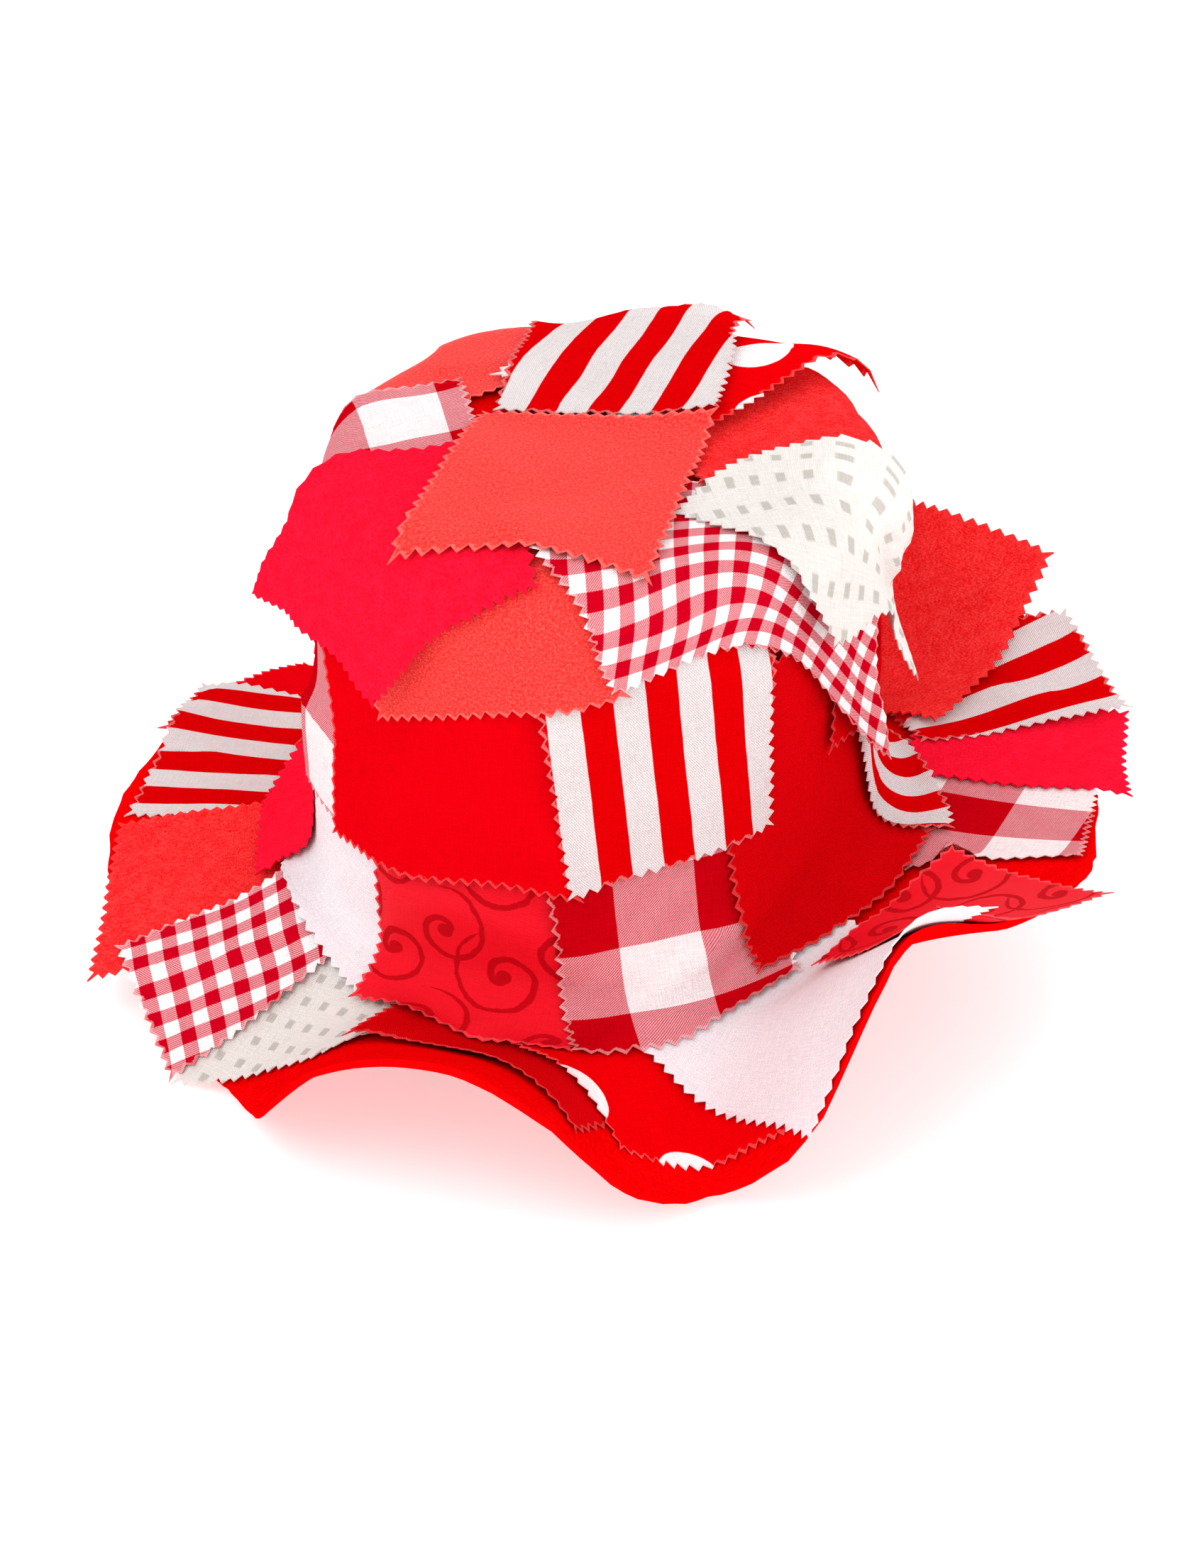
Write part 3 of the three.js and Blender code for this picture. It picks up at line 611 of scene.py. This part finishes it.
def settled(floor, rise):
    """Heights that start at rise over the floor and sink and smooth out, but never under it."""
    height = floor + rise
    for _ in range(SETTLE_ROUNDS):
        p = np.pad(height, 1, mode="reflect", reflect_type="odd")
        p = np.minimum(p, np.pad(height, 1, mode="edge") + EDGE_CURL)
        mean = (p[:-2, 1:-1] + p[2:, 1:-1] + p[1:-1, :-2] + p[1:-1, 2:]) / 4
        height = np.maximum(floor, height * (1 - SETTLE_SHARE) + mean * SETTLE_SHARE)
    return height


def grid_rim(grid):
    """The grid's outermost points in order, from the first one round."""
    return np.concatenate([grid[0, :-1], grid[:-1, -1], grid[-1, :0:-1], grid[:0:-1, 0]])


def slab_faces(grid):
    """Faces of a closed slab whose upper points follow the lower ones, both laid out as grid."""
    a, b = grid[:-1, :-1].ravel(), grid[:-1, 1:].ravel()
    c, d = grid[1:, 1:].ravel(), grid[1:, :-1].ravel()
    rim, n = grid_rim(grid), grid.size
    after = np.roll(rim, -1)
    return np.concatenate([np.stack([a, d, c, b], -1), np.stack([a, b, c, d], -1) + n,
                           np.stack([rim, after, after + n, rim + n], -1)])


def fold_line(azimuth, high):
    """A fold's middle, high mm over the felt at the crown's edge, and half the way across it."""
    theta, s = math.radians(azimuth), (S_RIM + S_WALL) / 2
    origin = to_metres(surface(theta, s, high))
    tangent = unit(surface(theta + 1e-3, s, high) - surface(theta - 1e-3, s, high))
    outward = np.array([tangent[1], -tangent[0], 0.0])
    if outward @ (origin * 1000 - CENTRE) < 0:
        outward = -outward
    return origin, (unit(outward) - [0, 0, 1]) / math.sqrt(2) * FOLD_REACH


def lay_cloth(name, fabric, at, twist=0.0, size=PLAIN_SIZE, corners=None, lift=(0, 0, 0, 0),
              tuck=0.0, bow=0.0, turn=0.0, phase=(0.0, 0.0), waves=(), fold=None):
    """One pinked cloth, laid over whatever is there already.

    at is where it lies flattest, and corners its flat cut from there, from the lower left round.
    lift is how far each corner stands off. tuck draws up the middle of the lower edge and bow
    pushes up that of the upper one. turn and phase set the pattern on it. A wave is a rise at a
    share of the cloth's width and length, with its reach both ways and its height. fold gives a
    fold line for a cloth that stands for a root and a flap; such a cloth is baked in place and does
    not bend.
    """
    rng = np.random.default_rng(sum(name.encode()) * 7919 + len(name))
    if corners is None:
        w, h = size
        corners = [[-w / 2, -h / 2], [w / 2, -h / 2], [w / 2, h / 2], [-w / 2, h / 2]]
    flat, u, v, weights, inset = cut_cloth(corners, rng)
    # where it goes
    shaped = flat.copy()
    shaped[..., 1] += tuck * np.sin(np.pi * u) ** 2 * (1 - v) + bow * np.sin(np.pi * u) * v
    xy = walk(chart_place(*at), shaped.reshape(-1, 2), math.radians(twist)).reshape(shaped.shape)
    # how high it lies
    thick = THICK.get(fabric, COTTON)
    rise = (weights**2) @ np.array(lift, float)
    loose = np.exp(-inset / LOOSE)
    rise += loose * (EDGE_RISE + RISE_SPREAD * smooth_noise(u.shape, EDGE_CELL, rng)).clip(0)
    rise += MIDDLE_RISE * smooth_noise(u.shape, MIDDLE_CELL, rng).clip(0)
    for wave_u, wave_v, reach_u, reach_v, high in waves:
        rise += high * np.exp(-((u - wave_u) / reach_u) ** 2 - ((v - wave_v) / reach_v) ** 2)
    height = settled(pile_under(xy) + AIR, rise)
    fine = drawn(np.dstack([xy, height + thick]))
    index = pile_index(fine[..., :2])
    np.maximum.at(pile, index, fine[..., 2].astype(np.float32))
    # the piece, from its under and its upper face
    base, top = (to_metres(chart(xy, height + t)).reshape(-1, 3) for t in (0.0, thick))
    grid = np.arange(height.size).reshape(height.shape)
    piece = make_mesh(name + "_cloth", np.concatenate([base, top]), slab_faces(grid),
                      FABRICS[fabric])
    q, r = math.cos(math.radians(turn)), math.sin(math.radians(turn))
    pattern = flat.reshape(-1, 2) @ np.array([[q, -r], [r, q]]) + phase
    point_uv(piece.data, np.tile(pattern / 1000, (2, 1)))
    point_value(piece.data, "cut", np.tile(inset.ravel(), 2))
    sharpen(piece.data)
    # what it stands for and the body it moves with; a cloth with a fold is baked in place instead
    nodes = [name] if fold is None else [name + "_root", name + "_flap"]
    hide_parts(*nodes)
    if fold is None:
        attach(piece, "hat")
    else:
        origin, path = fold_line(*fold)
        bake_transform(piece)


# name, fabric, and how it lies: at is azimuth and station, lengths are in mm, angles in degrees
CLOTHS = [
    # brim
    ("brim_back_left", "orange_red", dict(at=(-146, 3.4), twist=5)),
    ("brim_back", "large_check", dict(at=(178, 3.32), twist=-4, phase=(10, 5))),
    ("brim_back_mid", "red_twill", dict(at=(-167, 3.28), twist=6)),
    ("brim_back_right", "small_check", dict(at=(156, 3.34), twist=-6)),
    ("brim_left_red", "red_poplin", dict(at=(-130, 3.5), twist=4, lift=(2, 2, 0, 0))),
    ("brim_left_stripes", "stripes", dict(
        at=(-112, 3.6), twist=4, corners=[[-53, -36], [36, -30], [30, 38], [-48, 34]], turn=6)),
    ("brim_front_left_white", "jacquard", dict(
        at=(-48, 3.36), twist=24, corners=[[-50, -44], [44, -30], [46, 42], [-44, 44]], turn=-14)),
    ("brim_left_orange", "orange_red", dict(
        at=(-86, 3.6), twist=-3, corners=[[-33, -32], [44, -38], [44, 40], [-36, 36]])),
    ("brim_front_left_check", "small_check", dict(
        at=(-66, 3.6), twist=-2, corners=[[-32, -34], [28, -39], [24, 31], [-24, 31]], turn=-14)),
    ("brim_front_red", "red_twill", dict(
        at=(-15, 3.38), twist=-12, corners=[[-48, -20], [53, -34], [44, 52], [-44, 54]])),
    ("brim_front_polka", "polka", dict(
        at=(10, 3.42), twist=12, corners=[[-32, -30], [50, -52], [56, 34], [-46, 44]],
        phase=(8, -21))),
    ("brim_front_white", "white_poplin", dict(
        at=(28, 3.26), twist=-44, corners=[[-38, -36], [50, -50], [104, 28], [-14, 44]])),
    ("brim_right_damask", "damask", dict(
        at=(52, 3.78), twist=-2, corners=[[-42, -34], [26, -40], [28, 38], [-44, 38]],
        lift=(0, 0, 3, 0))),
    ("brim_right_check", "large_check", dict(
        at=(84, 3.5), twist=-4, corners=[[-44, -40], [50, -46], [46, 36], [-46, 44]], turn=-12,
        phase=(6, 0))),
    ("brim_right_crimson", "crimson", dict(
        at=(98, 3.7), twist=-18, corners=[[-24, -42], [28, -40], [40, 38], [-20, 36]])),
    ("brim_right_stripes", "stripes", dict(
        at=(113, 3.7), twist=-20, corners=[[-33, -46], [18, -42], [40, 34], [-28, 32]], turn=4)),
    # lower wall, over the crease
    ("low_left_white", "white_poplin", dict(
        at=(-66, 2.9), twist=-5, corners=[[-42, -34], [47, -36], [42, 36], [-30, 36]])),
    ("low_left_crimson", "crimson", dict(at=(-104, 2.92), twist=5)),
    ("low_back_left_polka", "polka", dict(at=(-140, 2.93), twist=-6)),
    ("low_back_white", "jacquard", dict(at=(178, 2.92), twist=3)),
    ("low_back_right_red", "red_poplin", dict(at=(143, 2.92), twist=-4)),
    ("low_front_damask", "damask", dict(
        at=(-25, 2.92), twist=1, corners=[[-34, -41], [40, -46], [40, 44], [-42, 44]],
        phase=(8, -6))),
    ("low_front_check", "large_check", dict(
        at=(11, 2.86), twist=8, corners=[[-34, -51], [44, -40], [42, 44], [-32, 44]], turn=-3,
        phase=(25, -8))),
    ("low_right_red", "red_twill", dict(
        at=(46, 2.78), twist=8, corners=[[-37, -50], [48, -56], [44, 62], [-30, 66]])),
    ("low_right_stripes", "stripes", dict(at=(88, 2.9), twist=14, size=(74, 84), turn=4)),
    ("brim_back_right_orange", "orange_red", dict(
        at=(122, 3.4), twist=-3, corners=[[-28, -77], [47, -77], [43, 10], [-34, 10]])),
    # wall
    ("wall_left_check", "large_check", dict(at=(-88, 2.5), twist=4)),
    ("wall_back_left_red", "red_twill", dict(at=(-124, 2.45), twist=-5)),
    ("wall_back_left_white", "white_poplin", dict(at=(-168, 2.42), twist=4)),
    ("wall_back_right_salmon", "salmon", dict(at=(152, 2.46), twist=-5)),
    ("wall_right_polka", "polka", dict(at=(112, 2.44), twist=5)),
    ("wall_right_dark", "red_twill", dict(at=(78, 2.25), twist=-4)),
    ("wall_front_red", "red_poplin", dict(at=(-35, 2.42), twist=6, size=(104, 92))),
    ("wall_front_stripes", "stripes", dict(
        at=(14, 2.34), twist=6, corners=[[-38, -49], [34, -41], [42, 44], [-40, 44]], turn=-1)),
    # over the crown's edge
    ("rim_back_right_red", "red_twill", dict(at=(140, 1.35), twist=4)),
    ("rim_back_white", "white_poplin", dict(at=(-176, 1.4), twist=-6, lift=(5, 5, 0, 0))),
    ("rim_back_left_salmon", "salmon", dict(
        at=(-138, 1.2), twist=-4, size=(84, 84), lift=(2, 2, 0, 0), fold=(-138, 4.7))),
    ("rim_left_check", "large_check", dict(
        at=(-82, 1.05), twist=3, size=(84, 84), phase=(47, 8))),
    ("rim_front_salmon", "salmon", dict(
        at=(-27, 2.02), twist=16, corners=[[-46, -36], [48, -33], [46, 38], [-46, 38]])),
    ("rim_left_crimson", "crimson", dict(
        at=(-45, 0.79), twist=57, corners=[[-62, -46], [18, -50], [18, 39], [-90, 34]],
        lift=(8, 0, 0, 18), fold=(-68, 9.4))),
    ("rim_front_check", "small_check", dict(
        at=(18, 0.8), twist=10, corners=[[-38, -50], [84, -112], [80, 15], [-45, 22]], tuck=26,
        lift=(0, 6, 0, 0), turn=-25)),
    ("rim_right_red", "orange_red", dict(at=(98, 0.85), twist=4, lift=(6, 6, 0, 0))),
    ("rim_right_white", "jacquard", dict(
        at=(48, 0.85), twist=-3, corners=[[-2, -52], [74, -88], [60, -8], [-25, 12]], tuck=16,
        bow=13, lift=(5, 12, 4, 0), fold=(66, 18.0), turn=-40)),
    ("crown_back_polka", "polka", dict(
        at=(150, 0.62), twist=-8, lift=(12, 0, 0, 0), phase=(-12.6, -9.9))),
    # the crown's top
    ("crown_back_stripes", "stripes", dict(
        at=(168, 0.56), twist=3, corners=[[-36, -42], [38, -44], [38, 38], [-38, 39]],
        lift=(4, 0, 0, 0), turn=-8.5, phase=(5, 0), waves=((0.2, 0.1, 0.07, 0.6, 4),))),
    ("crown_top_salmon", "salmon", dict(
        at=(-20, 0.45), twist=8, corners=[[-42, -47], [42, -48], [43, 46], [-37, 41]])),
]


# ---------------------------------------------------------------- felt and sweatband
STEPS = 240            # round the hat
CROWN_HOLE = 0.4       # mm, where the rings of faces start
SHELL_GIRTH = 95.0     # mm of pattern to each radian round
turn_round = -np.pi + 2 * np.pi * np.arange(STEPS) / STEPS


def closed_shell(name, rings, heights, material, uneven=0.0):
    """A solid between two heights over the hat's surface, closed at its first and last ring.

    rings are functions from azimuth to arc length. The last is cut uneven by about that many mm.
    """
    rng = np.random.default_rng(17)
    reach = np.stack([ring(turn_round) * np.ones(STEPS) for ring in rings], 1)
    around = np.repeat(turn_round[:, None], len(rings), 1)
    reach[:, -1] += uneven * np.array([
        math.sin(7 * t + 1) + 0.6 * math.sin(17 * t) + 0.4 * rng.standard_normal()
        for t in turn_round])
    layers = [to_metres(surface(around, reach, h)) for h in heights]
    n, m = around.shape
    points = np.concatenate([layer.reshape(-1, 3) for layer in layers])
    ring = np.arange(n * m).reshape(n, m)
    a, b = ring[:, :-1].ravel(), np.roll(ring, -1, 0)[:, :-1].ravel()
    c, d = np.roll(ring, -1, 0)[:, 1:].ravel(), ring[:, 1:].ravel()
    faces = [np.stack([a, d, c, b], -1) + n * m, np.stack([a, b, c, d], -1)]
    for column, last in ((0, False), (m - 1, True)):
        e, f = ring[:, column], np.roll(ring[:, column], -1)
        rim = np.stack([e, f, f + n * m, e + n * m], -1)
        faces.append(rim[:, ::-1] if last else rim)
    piece = make_mesh(name, points, np.concatenate(faces), material)
    flat = np.stack([around * SHELL_GIRTH, reach], -1).reshape(-1, 2)
    point_uv(piece.data, np.tile(flat / 1000, (2, 1)))
    cut = (reach[:, -1:] - reach).ravel()
    point_value(piece.data, "cut", np.tile(cut, 2))
    sharpen(piece.data)
    return piece


def rings_between(start, end, count):
    """count rings, evenly spaced after start up to end."""
    return [(lambda t, k=k: start(t) + (end(t) - start(t)) * k)
            for k in np.linspace(0, 1, count + 1)[1:]]


marks = [CROWN_HOLE, *np.linspace(6, S_RIM, 14), *np.linspace(S_RIM, S_WALL, 8)[1:]]
felt_rings = [(lambda t, s=s: s) for s in marks]
felt_rings += rings_between(lambda t: S_WALL, wall_foot, 23)
felt_rings += rings_between(wall_foot, brim_edge, 29)
felt = closed_shell("felt_hat", felt_rings, (-FELT, 0.0), FELT_CLOTH, uneven=0.8)
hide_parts("felt_body")
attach(felt, "hat")

# the sweatband, a ribbon round the inside of the wall
BAND_HEIGHT = 30.0
BAND_DROP = 34.0       # its lower edge above the wall's lowest foot
BAND_FACES = (-4.0, -3.0)
band_low_edge = S_FOOT - BAND_DROP
band_rings = [(lambda t, s=s: s) for s in band_low_edge - BAND_HEIGHT * np.linspace(1, 0, 13)]
ribbon = closed_shell("sweatband_ribbon", band_rings, BAND_FACES, RIBBON)
band_radius = float(profile(0.0, band_low_edge - BAND_HEIGHT / 2)[0])
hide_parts("sweatband")
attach(ribbon, "hat")

for name, fabric, how in CLOTHS:
    lay_cloth(name, fabric, **how)

# ---------------------------------------------------------------- stage
FLOOR_HALF = 6.0
FLOOR_Z = -0.0005
floor_material = bpy.data.materials.new("floor")
floor_material.use_nodes = True
floor_shader = floor_material.node_tree.nodes["Principled BSDF"].inputs
floor_shader["Base Color"].default_value = (0.86, 0.86, 0.86, 1)
floor_shader["Roughness"].default_value = 0.9
floor_shader["Specular IOR Level"].default_value = 0.1
floor_shader["Emission Color"].default_value = (1, 1, 1, 1)
floor_shader["Emission Strength"].default_value = 0.45
floor_corners = [(x * FLOOR_HALF, y * FLOOR_HALF, FLOOR_Z)
                 for x, y in ((-1, -1), (1, -1), (1, 1), (-1, 1))]
floor = make_mesh("floor", floor_corners, [(0, 1, 2, 3)], floor_material)

world = bpy.data.worlds.new("studio")
world.use_nodes = True
sky = world.node_tree.nodes["Background"].inputs
sky["Color"].default_value = (1.0, 1.0, 1.0, 1)
sky["Strength"].default_value = 1.0
bpy.context.scene.world = world


LIT_HEIGHT = 0.1       # m, what the lamps point at


def softbox(name, place, size, power):
    """A lamp of that size in metres and power in watts, pointed at the hat."""
    light = bpy.data.lights.new(name, "AREA")
    light.shape = "RECTANGLE"
    light.size, light.size_y = size
    light.energy = power
    lamp = bpy.data.objects.new(name, light)
    bpy.context.scene.collection.objects.link(lamp)
    lamp.location = place
    facing = Vector((0, 0, LIT_HEIGHT)) - lamp.location
    lamp.rotation_euler = facing.to_track_quat("-Z", "Y").to_euler()


softbox("key", (-1.2, -1.3, 2.2), (1.6, 1.6), 21)
softbox("fill", (1.9, -1.9, 1.3), (2.0, 2.0), 27)
softbox("back", (0.4, 2.2, 1.8), (1.6, 1.0), 14)

AIM_DROP = 84.1        # mm below the crown's middle
ELEVATION, DISTANCE = math.radians(30), 1.5
aim = Vector(to_metres(np.array([0, 0, -AIM_DROP])))
camera_data = bpy.data.cameras.new("camera")
camera_data.lens = 101
camera_data.sensor_width = 36
camera_data.shift_y = -0.084615
camera = bpy.data.objects.new("camera", camera_data)
bpy.context.scene.collection.objects.link(camera)
camera.location = aim + DISTANCE * Vector((0, -math.cos(ELEVATION), math.sin(ELEVATION)))
camera.rotation_euler = (aim - camera.location).to_track_quat("-Z", "Y").to_euler()
bpy.context.scene.camera = camera
bpy.context.scene.view_settings.view_transform = "Standard"
